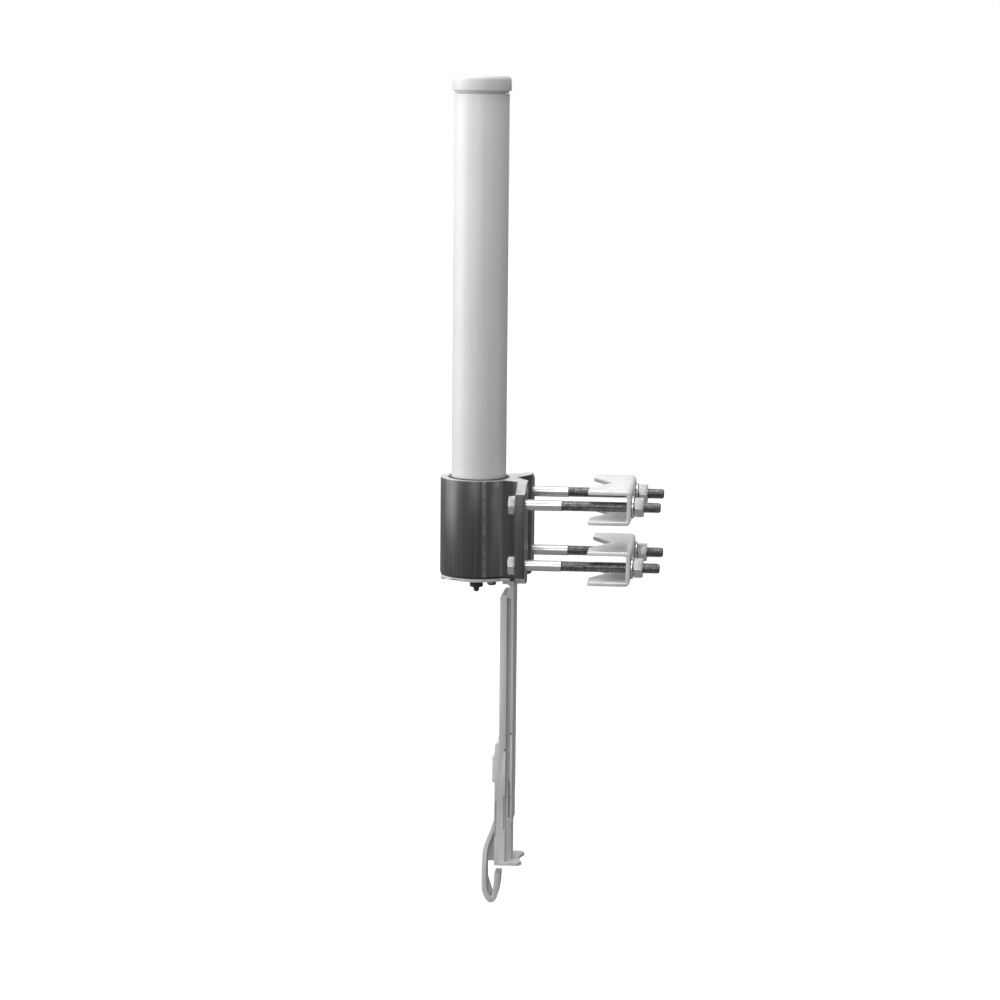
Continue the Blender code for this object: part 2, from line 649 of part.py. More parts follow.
def make_fasteners():
    """Four hex bolts through the plate, each with a washer and a nut behind its clamp."""
    for row_name, row in zip(("upper", "lower"), bolt_rows):
        for side_name, y in zip(("right", "left"), bolt_sides):
            name = f"{row_name}_{side_name}"
            axis = along_x(0, y, row)
            head = hexagon(f"hex_bolt_{name}", HEX_ACROSS_FLATS, head_back - BOLT_HEAD_HEIGHT, head_back,
                           axis, ZINC)
            end = head_back + BOLT_LENGTH
            chamfer = 1 * MM
            profile = [(0, end), (BOLT_RADIUS - chamfer, end), (BOLT_RADIUS, end - chamfer)]
            profile += [(BOLT_RADIUS, head_back - 2 * MM), (0, head_back - 2 * MM)]
            add(head, turned(f"shank_{name}", profile, axis, steps=24))
            ring(f"washer_{name}", BOLT_RADIUS + GAP, WASHER_RADIUS, washer_front,
                 washer_front + WASHER_THICKNESS, axis, ZINC)
            nut = hexagon(f"nut_{name}", HEX_ACROSS_FLATS, nut_front, nut_front + NUT_HEIGHT, axis, ZINC)
            cut(nut, rod(f"nut_thread_{name}", BOLT_RADIUS + GAP, nut_front - GAP,
                         nut_front + NUT_HEIGHT + GAP, axis))


def smooth_path(points, steps):
    """A Catmull-Rom curve through the points, computed with a repeated first and last point."""
    padded = [points[0]] + list(points) + [points[-1]]
    path = []
    for i in range(len(points) - 1):
        a, b, c, d = (Vector(p) for p in padded[i : i + 4])
        for j in range(steps):
            t = j / steps
            bend = (c - a) * t + (2 * a - 5 * b + 4 * c - d) * t**2 + (3 * b - a - 3 * c + d) * t**3
            path.append(b + bend / 2)
    path.append(Vector(points[-1]))
    return path


def band(path, start_width, end_width):
    """The outline of a strip that follows a path and changes evenly in width."""
    left, right = [], []
    for i, point in enumerate(path):
        along = path[min(i + 1, len(path) - 1)] - path[max(i - 1, 0)]
        normal = Vector((-along.y, along.x)).normalized()
        half = (start_width + (end_width - start_width) * i / (len(path) - 1)) / 2
        left.append(tuple(point + normal * half))
        right.append(tuple(point - normal * half))
    return left + right[::-1]


def make_arm():
    """The moulded arm: a tab under the base, a front plate with rails, a spine and the pole foot."""
    back_front = ARM_BACK - ARM_BACK_THICKNESS
    plate_back = ARM_FRONT + ARM_FRONT_THICKNESS
    tab_top = cover_bottom - GAP
    rail_front = ARM_FRONT - RAIL_PROUD
    corner = ARM_CORNER
    deep = plate_back - JOINT_LAP / 2
    front = [(plate_back, wing_top), (plate_back, arm_bottom), (rail_front, arm_bottom)]
    front += arc((rail_front + corner, rail_top - corner), corner, pi, pi / 2, 4)
    front += [(ARM_FRONT, rail_top)]
    front += arc((ARM_FRONT + corner, wing_top - corner), corner, pi, pi / 2, 4)
    arm = slab("mount_arm", front, -ARM_WIDTH / 2, ARM_WIDTH / 2, MOULDED, side=True)
    scoop = SCOOP_RADIUS
    neck_front = back_front - HANGER_STEP
    tab = [(ARM_BACK, tab_top), (TAB_FRONT, tab_top), (TAB_FRONT, tab_top - TAB_THICKNESS)]
    tab += arc((neck_front - scoop, tab_top - TAB_THICKNESS - scoop), scoop, pi / 2, 0, 5)
    tab += arc((neck_front - scoop, wing_top + scoop), scoop, 0, -pi / 2, 5)
    tab += [(neck_front - scoop, wing_top - WING_LAP), (ARM_BACK, wing_top - WING_LAP)]
    hanger = slab("hanger", tab, -BACK_FLANGE_WIDTH / 2, BACK_FLANGE_WIDTH / 2, side=True)
    ears = solid_box("ears", (TAB_FRONT, -TAB_WIDTH / 2, tab_top - TAB_THICKNESS),
                     (ARM_BACK, TAB_WIDTH / 2, tab_top))
    spine = solid_box("spine", (plate_back - JOINT_LAP, -SPINE_WIDTH / 2, arm_bottom + FOOT_THICKNESS / 2),
                      (back_front + JOINT_LAP, SPINE_WIDTH / 2, wing_top - 0.2 * MM))
    flange_low = arm_bottom + GUSSET_HEIGHT + 20 * MM
    flange = solid_box("back_flange", (back_front, -BACK_FLANGE_WIDTH / 2, flange_low),
                       (ARM_BACK, BACK_FLANGE_WIDTH / 2, wing_top))
    foot_front, foot_end = ARM_FRONT + JOINT_LAP, -POLE_RADIUS - GAP
    half_foot = arc((0, 0), POLE_RADIUS + GAP, pi, pi - FOOT_CRADLE, 6)
    half_foot += [(FOOT_SHOULDER, FOOT_WIDTH / 2), (foot_front, FOOT_WIDTH / 2)]
    foot_low = arm_bottom + FOOT_RAISED
    foot_top = foot_low + FOOT_THICKNESS
    foot = slab("foot", mirrored(half_foot), foot_low, foot_top)
    gusset_back = foot_end - 2 * JOINT_LAP
    sweep = gusset_back - ARM_BACK + FOOT_THICKNESS
    hollow = []
    for i in range(GUSSET_STEPS + 1):
        turn = i / GUSSET_STEPS * pi / 2
        hollow.append((gusset_back - sweep * sin(turn), foot_top + GUSSET_HEIGHT * (1 - cos(turn))))
    gusset_points = [(deep, foot_top - JOINT_LAP), (gusset_back, foot_top - JOINT_LAP)]
    gusset_points += hollow + [(deep, foot_top + GUSSET_HEIGHT)]
    gusset = slab("gusset", gusset_points, -GUSSET_WIDTH / 2, GUSSET_WIDTH / 2, side=True)
    add(arm, hanger, ears, spine, flange, foot, gusset)
    half_window = LEVER_WIDTH / 2 + LEVER_CLEARANCE
    window_top = lever_top + 3 * MM
    far_past = 10 * CUTTER_PAST
    cut(arm, solid_box("lever_window", (rail_front - far_past, -half_window, arm_bottom - far_past),
                       (plate_back - 1 * MM, half_window, window_top)))
    pin_end = ARM_WIDTH / 2 - PIN_COVER
    cut(arm, rod("pin_hole", PIN_RADIUS + GAP, -pin_end, pin_end, along_y(*pivot)))
    slot_top = cover_bottom - SIDE_SLOT_DROP
    slot_low = slot_top - SIDE_SLOT_LENGTH
    for side in (1, -1):
        outside = sorted((side * (ARM_WIDTH / 2 - SIDE_SLOT_DEPTH), side * (ARM_WIDTH / 2 + far_past)))
        cut(arm, solid_box(f"side_slot_{side}", (plate_back - SIDE_SLOT_CUT, outside[0], slot_low),
                           (plate_back + far_past, outside[1], slot_top)))
        cut(arm, turned(f"ear_hole_{side}", sunk_screw(tab_top, tab_top + far_past, GAP, 3 * MM),
                        at(arm_screw_x(), side * ARM_SCREW_SPREAD / 2, 0), steps=20))
    make_arm_screws(tab_top)
    return arm


def sunk_screw(tab_top, high, slack, below):
    """A countersunk screw's profile. Its hole has the same shape with slack, and runs out below."""
    low = tab_top - TAB_THICKNESS + 0.2 * MM
    shaft, head = SMALL_SCREW_RADIUS + slack, ARM_SCREW_HEAD + slack
    sink = low + ARM_SCREW_SINK + slack
    profile = [(0, high), (shaft, high), (shaft, sink), (head, low + 0.3 * MM)]
    return profile + [(head, low - below), (0, low - below)]


def make_arm_screws(tab_top):
    """Two screws up through the tab's ears and the cover into the base."""
    for name, y in zip(("right", "left"), arm_screw_sides()):
        profile = sunk_screw(tab_top, arm_screw_top(), 0, 0)
        turned(f"arm_screw_{name}", profile, at(arm_screw_x(), y, 0), ZINC, steps=20)


def make_lever():
    """The release lever, a rocker with the radio's catch above its pivot and a finger hook below."""
    rear = ARM_FRONT - RAIL_PROUD + LEVER_LEAF
    front = rear - LEVER_LEAF
    middle = (front + rear) / 2
    low = pivot_height - HOOK_START
    lean = Vector((middle, low))
    route = [lean + Vector(step) * MM for step in HOOK_ROUTE]
    path = smooth_path(route, 4)
    strip = band(path, LEVER_LEAF - 0.5 * MM, HOOK_THICKNESS)
    half = LEVER_WIDTH / 2
    body = [(rear, lever_top), (front, lever_top - 1 * MM)]
    body += [(front - CATCH_PROUD, lever_top - JOINT_LAP - CATCH_LEAD)]
    body += [(front - CATCH_PROUD, lever_top - CATCH_LENGTH), (front, lever_top - CATCH_LENGTH - JOINT_LAP)]
    body += [(front, low), (rear, low)]
    lever = slab("release_lever", body, -half, half, MOULDED, side=True)
    step = 0.4 * MM  # the hook is a little narrower than the leaf, and the barrel than the hook
    hook = slab("hook", strip, step - half, half - step, side=True)
    barrel = rod("barrel", BARREL_RADIUS, 2 * step - half, half - 2 * step, along_y(*pivot), steps=24)
    finger_web = [lean + Vector(step) * MM for step in FINGER_WEB]
    root_web = [lean + Vector(step) * MM for step in ROOT_WEB]
    web = slab("finger_web", [tuple(point) for point in finger_web], -HOOK_WEB / 2, HOOK_WEB / 2, side=True)
    root = slab("root_web", [tuple(point) for point in root_web], -ROOT_WEB_WIDTH / 2, ROOT_WEB_WIDTH / 2,
                side=True)
    add(lever, hook, barrel, web, root)
    cut(lever, rod("lever_bore", PIN_RADIUS + GAP, -LEVER_WIDTH, LEVER_WIDTH, along_y(*pivot)))
    pin_half = ARM_WIDTH / 2 - PIN_COVER - GAP
    rod("lever_pin", PIN_RADIUS, -pin_half, pin_half, along_y(*pivot), ZINC, steps=16)


make_housing()
make_radome()
make_cover()
make_connectors()
make_radiators()
make_clamps()
make_fasteners()
make_arm()
make_lever()
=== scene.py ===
# %% [markdown]
# # A pole-mounted omnidirectional antenna
# The object is a radio antenna in an upright plastic tube. An aluminium base holds the tube, and two
# zinc-plated clamps pull that base against a mast. A moulded arm with a release lever hangs below it.
# The hard parts come from CAD as a fixed frame, in metres, with +Z up and the mast's axis at the origin.
# This script rebuilds each visible part with softened edges, threads and teeth, and gives it a finish.

# %% Load the fixed frame
import json
from math import cos, pi, radians, sin, tan

import bpy
from mathutils import Euler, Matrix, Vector

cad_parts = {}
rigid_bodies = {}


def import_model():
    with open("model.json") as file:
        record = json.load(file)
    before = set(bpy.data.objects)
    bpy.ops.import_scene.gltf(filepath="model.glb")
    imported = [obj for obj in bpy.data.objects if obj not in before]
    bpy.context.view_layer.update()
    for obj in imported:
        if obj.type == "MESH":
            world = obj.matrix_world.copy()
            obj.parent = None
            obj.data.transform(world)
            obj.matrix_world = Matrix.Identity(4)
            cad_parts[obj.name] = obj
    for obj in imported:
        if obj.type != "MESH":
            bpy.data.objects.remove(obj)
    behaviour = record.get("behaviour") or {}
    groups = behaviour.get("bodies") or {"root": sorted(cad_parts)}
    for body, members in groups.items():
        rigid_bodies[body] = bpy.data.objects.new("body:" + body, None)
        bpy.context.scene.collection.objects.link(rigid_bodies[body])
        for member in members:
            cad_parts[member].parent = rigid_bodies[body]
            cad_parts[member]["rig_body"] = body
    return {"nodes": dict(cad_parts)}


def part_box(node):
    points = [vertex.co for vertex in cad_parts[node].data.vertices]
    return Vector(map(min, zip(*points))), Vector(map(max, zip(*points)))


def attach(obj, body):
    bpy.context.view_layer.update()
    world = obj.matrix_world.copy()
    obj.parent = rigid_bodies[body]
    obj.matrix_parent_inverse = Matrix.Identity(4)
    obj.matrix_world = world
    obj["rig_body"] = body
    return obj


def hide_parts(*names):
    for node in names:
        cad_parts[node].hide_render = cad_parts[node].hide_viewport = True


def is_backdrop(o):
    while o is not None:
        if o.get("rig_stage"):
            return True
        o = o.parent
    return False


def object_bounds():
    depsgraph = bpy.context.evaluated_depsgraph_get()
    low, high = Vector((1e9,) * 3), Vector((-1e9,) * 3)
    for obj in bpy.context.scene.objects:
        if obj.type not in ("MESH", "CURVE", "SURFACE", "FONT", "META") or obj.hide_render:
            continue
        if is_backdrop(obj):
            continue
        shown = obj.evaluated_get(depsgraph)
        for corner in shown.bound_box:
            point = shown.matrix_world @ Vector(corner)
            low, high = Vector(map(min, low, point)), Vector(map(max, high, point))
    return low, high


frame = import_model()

MM = 0.001
CAD_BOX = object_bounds()
print("CAD box in mm:", [[round(v / MM, 1) for v in corner] for corner in CAD_BOX])

# %% [markdown]
# ## Camera
# A long lens from two metres away keeps the tube almost parallel-sided. The camera stands a little above
# the clamps and a few degrees round towards the bolt ends, so the far pair of bolts shows behind the near
# one.

# %% Camera
AIM = Vector((-0.0473, 0, 0.0199))
CAMERA_AZIMUTH, CAMERA_ELEVATION, CAMERA_ROLL = radians(5.2), radians(8.31), radians(0.54)
CAMERA_DISTANCE, LENS_MM, SENSOR_MM = 2.0515, 100.8, 36

towards_camera = Vector((sin(CAMERA_AZIMUTH) * cos(CAMERA_ELEVATION),
                         -cos(CAMERA_AZIMUTH) * cos(CAMERA_ELEVATION), sin(CAMERA_ELEVATION)))
lens = bpy.data.cameras.new("studio_lens")
lens.lens, lens.sensor_width = LENS_MM, SENSOR_MM
lens.clip_start, lens.clip_end = 0.05, 50
camera = bpy.data.objects.new("studio_camera", lens)
bpy.context.scene.collection.objects.link(camera)
camera.location = AIM + towards_camera * CAMERA_DISTANCE
camera.rotation_mode = "QUATERNION"
level_turn = (-towards_camera).to_track_quat("-Z", "Y")
camera.rotation_quaternion = level_turn @ Euler((0, 0, CAMERA_ROLL)).to_quaternion()
bpy.context.scene.camera = camera
print("camera at", [round(v, 3) for v in camera.location])

# %% [markdown]
# ## Stage and light
# A metal part shows what stands around it more than its own colour. A large soft panel to the left gives
# the tube its bright side, one from above whitens the zinc, and a fill from the front keeps the shadows
# open. The far right is left dim, so every round surface runs from light to dark. A narrow strip on the right
# waits until the base is made. The floor is a wide sheet of pale card, just below the lowest part.

# %% Stage and light
def bare():
    """Nothing selected and no object in edit mode, so that the next operator acts on one piece only."""
    if bpy.context.object and bpy.context.object.mode != "OBJECT":
        bpy.ops.object.mode_set(mode="OBJECT")
    bpy.ops.object.select_all(action="DESELECT")


def soft_panel(name, at, aim, width, height, watts):
    """A soft studio light at one point, turned towards another."""
    light = bpy.data.lights.new(name, "AREA")
    light.shape, light.size, light.size_y, light.energy = "RECTANGLE", width, height, watts
    panel = bpy.data.objects.new(name, light)
    panel.location = at
    panel.rotation_euler = (Vector(aim) - Vector(at)).to_track_quat("-Z", "Y").to_euler()
    bpy.context.scene.collection.objects.link(panel)
    return panel


FLOOR_BELOW, FLOOR_SIZE = 6 * MM, 30
bare()
bpy.ops.mesh.primitive_plane_add(size=FLOOR_SIZE, location=(0, 0, CAD_BOX[0].z - FLOOR_BELOW))
card_floor = bpy.context.object
card_floor.name = "card_floor"
card_floor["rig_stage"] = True

soft_panel("left_panel", (-2.0, -0.1, 0.5), (-0.05, 0, 0.05), 1.5, 1.8, 29)
soft_panel("front_fill", (-0.3, -2.6, 0.9), (0, 0, 0), 1.2, 1.2, 15)
soft_panel("top_panel", (-0.1, -0.3, 1.9), (0, 0, 0), 1.3, 1.3, 20)
strip = soft_panel("right_strip", (1.42, -0.73, 0.1), (0, 0, 0), 0.16, 1.4, 9)

# %% [markdown]
# ### The air of the studio
# Seen by the lens, the air round the object is plain white card. As light it grows towards the left, towards
# the back and upwards, and is nearly dark on the right, so that metal shows a light side, a dark front and
# a dim right side. Each direction has its own ramp, and the three are added up.

# %% Studio air
world = bpy.data.worlds.new("studio_air")
bpy.context.scene.world = world
world.use_nodes = True
air = world.node_tree
direction = air.nodes.new("ShaderNodeSeparateXYZ")
air.links.new(air.nodes.new("ShaderNodeTexCoord").outputs["Generated"], direction.inputs["Vector"])
levels = []
AIR_LEVELS = (("X", 0.2, -1, 0.03, 0.75), ("Y", 0.5, 1, 0.0, 0.75), ("Z", 0.1, 1, 0.0, 0.7))
for axis_name, start, end, low, high in AIR_LEVELS:
    level = air.nodes.new("ShaderNodeMapRange")
    air.links.new(direction.outputs[axis_name], level.inputs["Value"])
    for socket, value in zip(("From Min", "From Max", "To Min", "To Max"), (start, end, low, high)):
        level.inputs[socket].default_value = value
    levels.append(level)
total = levels[0]
for level in levels[1:]:
    both = air.nodes.new("ShaderNodeMath")
    air.links.new(total.outputs[0], both.inputs[0])
    air.links.new(level.outputs[0], both.inputs[1])
    total = both
seen = air.nodes.new("ShaderNodeMix")
air.links.new(air.nodes.new("ShaderNodeLightPath").outputs["Is Camera Ray"], seen.inputs["Factor"])
air.links.new(total.outputs[0], seen.inputs[2])
seen.inputs[3].default_value = 1.0
air.links.new(seen.outputs[0], air.nodes["Background"].inputs["Strength"])
air.nodes["Background"].inputs["Color"].default_value = (1, 1, 1, 1)
bpy.context.scene.view_settings.view_transform = "Standard"
print("air light along", {axis_name: (low, high) for axis_name, _, _, low, high in AIR_LEVELS})

# %% [markdown]
# ## Effects shared by the finishes
# Four effects turn up in several finishes: a fine grain with broad blotches, drawn streaks, lighter edges and
# settled dust. The lighter edges are rubbed wear on most parts and a painted highlight on the base profile.
# Each is built once as a node group that puts out plain masks between 0 and 1.

# %% Shared effects
def new_effect(name, inputs, outputs):
    """An empty shader node group with named float sockets, with its first and last node."""
    group = bpy.data.node_groups.new(name, "ShaderNodeTree")
    for label, value in inputs.items():
        group.interface.new_socket(label, in_out="INPUT", socket_type="NodeSocketFloat").default_value = value
    for label in outputs:
        group.interface.new_socket(label, in_out="OUTPUT", socket_type="NodeSocketFloat")
    return group, group.nodes.new("NodeGroupInput"), group.nodes.new("NodeGroupOutput")


def node(tree, kind, links=(), **settings):
    """A node of one kind, its settings made, and its inputs linked or filled in order of name."""
    made = tree.nodes.new("ShaderNode" + kind)
    for key, value in settings.items():
        setattr(made, key, value)
    for socket, source in dict(links).items():
        if hasattr(source, "is_output"):
            tree.links.new(source, made.inputs[socket])
        else:
            made.inputs[socket].default_value = source
    return made


def scaled_place(tree, x, y, z):
    """Object coordinates with each axis multiplied, to stretch a pattern along the part."""
    place = node(tree, "TexCoord").outputs["Object"]
    factors = node(tree, "CombineXYZ", {"X": x, "Y": y, "Z": z}).outputs["Vector"]
    return node(tree, "VectorMath", {0: place, 1: factors}, operation="MULTIPLY").outputs["Vector"]


def make_grain():
    """Fine speckle and broad blotches."""
    group, given, out = new_effect("grain", {"Fine": 900, "Broad": 40}, ["Speckle", "Blotch"])
    for label, source, detail in (("Speckle", "Fine", 4), ("Blotch", "Broad", 5)):
        place = scaled_place(group, given.outputs[source], given.outputs[source], given.outputs[source])
        noise = node(group, "TexNoise", {"Vector": place, "Scale": 1, "Detail": detail, "Roughness": 0.6})
        group.links.new(noise.outputs["Fac"], out.inputs[label])
    return group


def make_streaks():
    """Long thin lines, as a drawing die or a brush leaves; the three factors stretch them."""
    group, given, out = new_effect("streaks", {"Across X": 1500, "Across Y": 1500, "Along Z": 20},
                                   ["Hairline", "Band"])
    place = scaled_place(group, *(given.outputs[label] for label in ("Across X", "Across Y", "Along Z")))
    for label, scale, detail in (("Hairline", 1, 5), ("Band", 0.14, 3)):
        noise = node(group, "TexNoise",
                     {"Vector": place, "Scale": scale, "Detail": detail, "Roughness": 0.65})
        spread = node(group, "MapRange", {"Value": noise.outputs["Fac"], "From Min": 0.3, "From Max": 0.7})
        group.links.new(spread.outputs["Result"], out.inputs[label])
    return group


WEAR_AND_HIGHLIGHT_FROM = 0.56


def make_edge_wear_and_highlight():
    """White where an edge stands out, broken by a noise: rubbed wear, and on the base a painted highlight."""
    group, given, out = new_effect("edge_wear_and_highlight", {"Reach": 0.06, "Breaks": 350}, ["Edge"])
    sharp = node(group, "NewGeometry").outputs["Pointiness"]
    limit = node(group, "Math", {0: given.outputs["Reach"], 1: WEAR_AND_HIGHLIGHT_FROM}, operation="ADD").outputs["Value"]
    edge = node(group, "MapRange",
                {"Value": sharp, "From Min": WEAR_AND_HIGHLIGHT_FROM, "From Max": limit}).outputs["Result"]
    place = scaled_place(group, *[given.outputs["Breaks"]] * 3)
    noise = node(group, "TexNoise",
                 {"Vector": place, "Scale": 1, "Detail": 4, "Roughness": 0.7}).outputs["Fac"]
    broken = node(group, "MapRange", {"Value": noise, "From Min": 0.32, "From Max": 0.58}).outputs["Result"]
    both = node(group, "Math", {0: edge, 1: broken}, operation="MULTIPLY").outputs["Value"]
    group.links.new(both, out.inputs["Edge"])
    return group


def make_dust():
    """A thin film where the surface faces up, thicker in patches."""
    group, given, out = new_effect("settled_dust", {"Patches": 60}, ["Film"])
    up = node(group, "SeparateXYZ", {"Vector": node(group, "TexCoord").outputs["Normal"]}).outputs["Z"]
    facing = node(group, "MapRange", {"Value": up, "From Min": 0.1, "From Max": 1}).outputs["Result"]
    place = scaled_place(group, *[given.outputs["Patches"]] * 3)
    noise = node(group, "TexNoise",
                 {"Vector": place, "Scale": 1, "Detail": 6, "Roughness": 0.65}).outputs["Fac"]
    patch = node(group, "MapRange", {"Value": noise, "From Min": 0.35, "From Max": 0.7}).outputs["Result"]
    both = node(group, "Math", {0: facing, 1: patch}, operation="MULTIPLY").outputs["Value"]
    group.links.new(both, out.inputs["Film"])
    return group


EFFECTS = {"grain": make_grain(), "streaks": make_streaks(), "wear_and_highlight": make_edge_wear_and_highlight(), "dust": make_dust()}
print("effects:", sorted(EFFECTS))

# %% [markdown]
# ## Finishes
# A finish starts from a dark and a light tone of one colour. The blotches and streaks move the surface
# between the two, the speckle roughens it, standing-out edges turn lighter, as rubbed wear and on the base
# as a painted highlight, and dust greys what faces up. The same recipe with other numbers makes moulded
# plastic, drawn aluminium, zinc plate or rubber.

# %% The recipe for a finish
def grey(value, warm=0.0):
    """A nearly neutral colour; warm tips it a little towards yellow."""
    return (value * (1 + warm), value, value * (1 - warm), 1)


def finish(name, dark, light, rough, metal=0.0, fine=900, broad=40, along=None, streak=0.0, bump=0.1,
           depth=0.05, wear_and_highlight_tone=None, wear_and_highlight=0.0, dust=0.0, coat=0.0):
    """A material: tones, roughness range, metalness, pattern scales in 1/m, and how strong each effect is."""
    material = bpy.data.materials.new(name)
    material.use_nodes = True
    tree = material.node_tree
    shader = tree.nodes["Principled BSDF"]
    grain = node(tree, "Group", node_tree=EFFECTS["grain"])
    grain.inputs["Fine"].default_value, grain.inputs["Broad"].default_value = fine, broad
    speckle, blotch = grain.outputs["Speckle"], grain.outputs["Blotch"]
    tone, height = blotch, speckle
    if along:
        lines = node(tree, "Group", node_tree=EFFECTS["streaks"])
        for socket, value in zip(lines.inputs, along):
            socket.default_value = value
        tone = node(tree, "Mix", {"Factor": streak, 2: blotch, 3: lines.outputs["Band"]}).outputs[0]
        hair = node(tree, "Mix", {"Factor": streak * 0.7, 2: tone, 3: lines.outputs["Hairline"]})
        tone = hair.outputs[0]
        height = node(tree, "Mix", {"Factor": streak, 2: speckle, 3: lines.outputs["Hairline"]}).outputs[0]
    spread = node(tree, "MapRange", {"Value": tone, "From Min": 0.3, "From Max": 0.7}).outputs["Result"]
    colour = node(tree, "Mix", {"Factor": spread, 6: dark, 7: light}, data_type="RGBA").outputs[2]
    # Standing-out edges turn lighter: rubbed wear, and on the base profile a painted highlight.
    if wear_and_highlight:
        wear_and_highlight_edge = node(tree, "Group", node_tree=EFFECTS["wear_and_highlight"]).outputs["Edge"]
        amount = node(tree, "Math", {0: wear_and_highlight_edge, 1: wear_and_highlight}, operation="MULTIPLY").outputs["Value"]
        colour = node(tree, "Mix", {"Factor": amount, 6: colour, 7: wear_and_highlight_tone or light},
                      data_type="RGBA").outputs[2]
    if dust:
        film = node(tree, "Group", node_tree=EFFECTS["dust"]).outputs["Film"]
        amount = node(tree, "Math", {0: film, 1: dust}, operation="MULTIPLY").outputs["Value"]
        colour = node(tree, "Mix", {"Factor": amount, 6: colour, 7: grey(0.42, 0.03)},
                      data_type="RGBA").outputs[2]
    roughness = node(tree, "MapRange", {"Value": speckle, "From Min": 0.3, "From Max": 0.7,
                                        "To Min": rough[0], "To Max": rough[1]}).outputs["Result"]
    relief = node(tree, "Bump", {"Height": height, "Strength": bump, "Distance": depth * MM})
    for socket, source in (("Base Color", colour), ("Roughness", roughness),
                           ("Normal", relief.outputs["Normal"])):
        tree.links.new(source, shader.inputs[socket])
    shader.inputs["Metallic"].default_value = metal
    shader.inputs["Coat Weight"].default_value = coat
    return material

# %% [markdown]
# ### The finishes of this antenna
# The tube and its cap are satin off-white plastic. The base is a drawn aluminium profile with a dull grey
# skin and long die lines, and its sawn ends are bright. Clamps are zinc plate, bolts and nuts a brighter one,
# and their threads are a dark grey. The arm and the lever are fine-grained grey plastic, and the seal,
# gasket and dust caps are black rubber.

# %% The finishes
FINISHES = {
    "radome": finish("radome_satin", grey(0.63), grey(0.71), (0.36, 0.48), broad=14, fine=2600,
                     along=(700, 700, 6), streak=0.3, bump=0.12, wear_and_highlight=0.3, wear_and_highlight_tone=grey(0.75), dust=0.1),
    # The base's edges go near white at full strength: a painted highlight along its edges and ribs.
    "extrusion": finish("drawn_aluminium", grey(0.06), grey(0.115), (0.30, 0.44), metal=0.75, broad=45,
                        fine=1800, along=(1400, 1400, 9), streak=0.65, bump=0.25, wear_and_highlight=1.0,
                        wear_and_highlight_tone=grey(0.75), dust=0.1),
    "cut_end": finish("sawn_aluminium", grey(0.5), grey(0.75), (0.25, 0.4), metal=0.8, fine=2200,
                      along=(90, 1600, 1600), streak=0.6, bump=0.25),
    "zinc_steel": finish("zinc_plate", grey(0.72), grey(0.86), (0.3, 0.45), metal=0.55, broad=90, fine=1500,
                         bump=0.14, wear_and_highlight=0.6, wear_and_highlight_tone=grey(0.95), dust=0.12),
    "fastener": finish("bright_zinc", grey(0.62), grey(0.68), (0.24, 0.3), metal=1.0, broad=60, fine=1800,
                       bump=0.04, wear_and_highlight=0.3, wear_and_highlight_tone=grey(0.9)),
    # A dark grey for the bolts' threads and for the pan screws.
    "thread": finish("dark_steel", grey(0.12), grey(0.2), (0.25, 0.45), metal=1.0, broad=260, fine=2600,
                     bump=0.15, wear_and_highlight=0.6, wear_and_highlight_tone=grey(0.7)),
    "moulding": finish("moulded_grey", grey(0.54), grey(0.6), (0.46, 0.62), broad=30, fine=3200,
                       bump=0.3, wear_and_highlight=0.35, wear_and_highlight_tone=grey(0.62), dust=0.12),
    "cover": finish("cover_grey", grey(0.46), grey(0.56), (0.4, 0.55), broad=35, fine=3000, bump=0.25,
                    wear_and_highlight=0.4, wear_and_highlight_tone=grey(0.6)),
    "rubber": finish("black_rubber", grey(0.012), grey(0.03), (0.42, 0.65), broad=60, fine=2400, bump=0.35,
                     dust=0.06),
    "connector_metal": finish("nickel_plate", grey(0.45, 0.05), grey(0.6, 0.05), (0.2, 0.35), metal=1.0,
                              broad=120, fine=2400, bump=0.1, wear_and_highlight=0.5, wear_and_highlight_tone=grey(0.8)),
    "circuit_board": finish("board_green", (0.02, 0.09, 0.03, 1), (0.04, 0.16, 0.06, 1), (0.3, 0.45),
                            broad=70, fine=2000, bump=0.2, coat=0.2),
    "foam": finish("spacer_foam", grey(0.62), grey(0.78), (0.8, 0.95), broad=500, fine=1500, bump=0.8,
                   depth=0.3),
    "coax_jacket": finish("coax_braid", (0.16, 0.09, 0.05, 1), (0.3, 0.18, 0.1, 1), (0.4, 0.6), broad=800,
                          fine=3000, bump=0.5),
    "card": finish("pale_card", grey(0.22), grey(0.25), (0.8, 0.9), broad=2, fine=300, bump=0.02),
}
print(len(FINISHES), "finishes made")

# %% [markdown]
# ### The card glows for the lens only
# A white card that is bright enough to look white would light every part from below. So it is given a darker
# tone as far as light goes, and a glow that a Light Path node limits to what the lens sees.

# %% Card on the floor
card_floor.data.materials.append(FINISHES["card"])
CARD_GLOW = 0.92
card_tree = FINISHES["card"].node_tree
card_shader = card_tree.nodes["Principled BSDF"]
card_shader.inputs["Emission Color"].default_value = (1, 1, 1, 1)
lens_only = card_tree.nodes.new("ShaderNodeMath")
lens_only.operation = "MULTIPLY"
lens_only.inputs[1].default_value = CARD_GLOW
card_tree.links.new(card_tree.nodes.new("ShaderNodeLightPath").outputs["Is Camera Ray"], lens_only.inputs[0])
card_tree.links.new(lens_only.outputs[0], card_shader.inputs["Emission Strength"])
print("card glow", CARD_GLOW, "for the lens only")

# %% [markdown]
# ## Tools for the bench
# Every part goes through the same few steps: start from a ring or from a merged copy of its CAD solid, cut
# or add what the real one has, round its edges, and hand it to the body it moves with. Real edges are never
# sharp, and a rounded edge catches a thin line of light that makes a part look made rather than drawn.

# %% Selecting and settling
def in_edit(piece):
    """This piece alone, in edit mode, with everything in it selected."""
    bare()
    bpy.context.view_layer.objects.active = piece
    piece.select_set(True)
    bpy.ops.object.mode_set(mode="EDIT")
    bpy.ops.mesh.select_all(action="SELECT")


